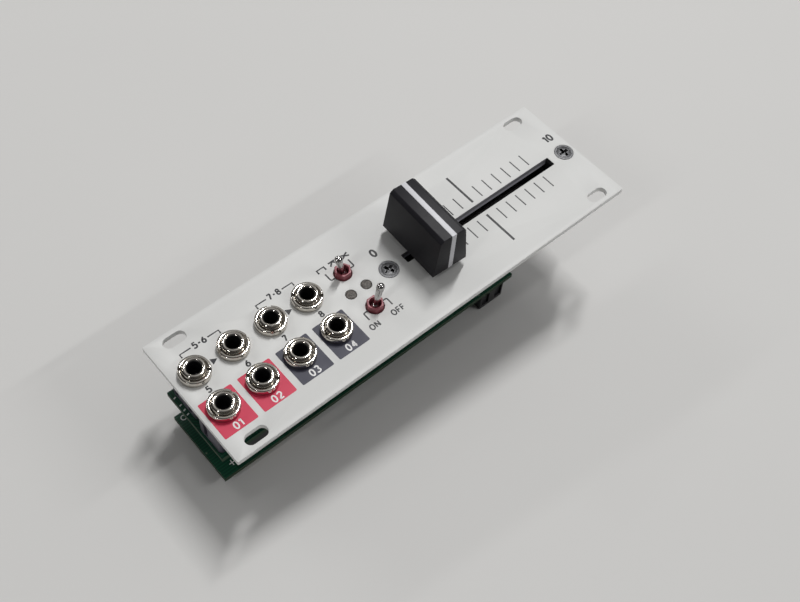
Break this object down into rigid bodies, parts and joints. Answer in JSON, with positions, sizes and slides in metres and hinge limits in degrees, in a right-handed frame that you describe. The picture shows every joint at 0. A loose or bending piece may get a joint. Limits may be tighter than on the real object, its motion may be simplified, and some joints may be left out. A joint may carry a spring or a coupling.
{
  "type": "eurorack module",
  "caption": "One-unit synthesizer rack module with a crossfader, mini jacks, toggle switches and flush lights on a printed panel over two stacked boards.",
  "frame": {"origin": "under the middle of the panel, level with the mouth of the power header, the lowest point, with the module lying on its back", "axes": "+X along the panel in its reading direction, +Y up the panel, +Z out of the panel's front"},
  "size_m": [0.1318, 0.0396, 0.0501],
  "materials": {
    "painted_panel": "white paint over aluminium, satin, with printed marks",
    "jack_plastic": "grey moulded plastic",
    "nickel": "bright nickel plating",
    "red_plastic": "dark rose moulded plastic",
    "lever_metal": "bright plated brass",
    "smoked_plastic": "smoked translucent plastic",
    "steel": "zinc-plated steel",
    "black_plastic": "black moulded plastic",
    "contact_metal": "springy contact metal",
    "track_board": "brown phenolic board",
    "cap_plastic": "black satin plastic with a white line",
    "screw_steel": "plated countersunk steel",
    "circuit_board": "dark green solder mask over glass fibre",
    "can_metal": "bare aluminium can on a black base"
  },
  "bodies": {
    "module": {"panel": "painted_panel", "jack_body_lower_1": "jack_plastic", "jack_sleeve_lower_1": "nickel", "jack_nut_lower_1": "nickel", "jack_body_lower_2": "jack_plastic", "jack_sleeve_lower_2": "nickel", "jack_nut_lower_2": "nickel", "jack_body_lower_3": "jack_plastic", "jack_sleeve_lower_3": "nickel", "jack_nut_lower_3": "nickel", "jack_body_lower_4": "jack_plastic", "jack_sleeve_lower_4": "nickel", "jack_nut_lower_4": "nickel", "jack_body_upper_1": "jack_plastic", "jack_sleeve_upper_1": "nickel", "jack_nut_upper_1": "nickel", "jack_body_upper_2": "jack_plastic", "jack_sleeve_upper_2": "nickel", "jack_nut_upper_2": "nickel", "jack_body_upper_3": "jack_plastic", "jack_sleeve_upper_3": "nickel", "jack_nut_upper_3": "nickel", "jack_body_upper_4": "jack_plastic", "jack_sleeve_upper_4": "nickel", "jack_nut_upper_4": "nickel", "toggle_housing_upper": "red_plastic", "toggle_collar_upper": "red_plastic", "toggle_housing_lower": "red_plastic", "toggle_collar_lower": "red_plastic", "light_pipe_left": "smoked_plastic", "light_pipe_right": "smoked_plastic", "fader_frame": "steel", "fader_rail_near": "steel", "fader_rail_far": "steel", "fader_track_board": "track_board", "fader_riser": "black_plastic", "panel_screw_left": "screw_steel", "panel_screw_right": "screw_steel", "upper_board": "circuit_board", "lower_board": "circuit_board", "header_socket_near": "black_plastic", "header_pins_near": "black_plastic", "header_socket_far": "black_plastic", "header_pins_far": "black_plastic", "power_header": "black_plastic", "chip_1": "black_plastic", "chip_2": "black_plastic", "chip_3": "black_plastic", "capacitor_near": "can_metal", "capacitor_far": "can_metal"},
    "fader": {"fader_carriage": "black_plastic", "fader_stem": "steel", "fader_wiper": "contact_metal", "fader_cap": "cap_plastic"},
    "upper_lever": {"toggle_lever_upper": "lever_metal"},
    "lower_lever": {"toggle_lever_lower": "lever_metal"}
  },
  "joints": [
    {"name": "fader_slide", "type": "slide", "parent": "module", "child": "fader", "axis": [1, 0, 0], "range_m": [-0.0017, 0.0433]},
    {"name": "upper_lever_flip", "type": "hinge", "parent": "module", "child": "upper_lever", "pos_m": [-0.01344, 0.0065, 0.0346], "axis": [0, 1, 0], "range_deg": [0, 24]},
    {"name": "lower_lever_flip", "type": "hinge", "parent": "module", "child": "lower_lever", "pos_m": [-0.01344, -0.0065, 0.0346], "axis": [0, 1, 0], "range_deg": [-24, 0]}
  ]
}
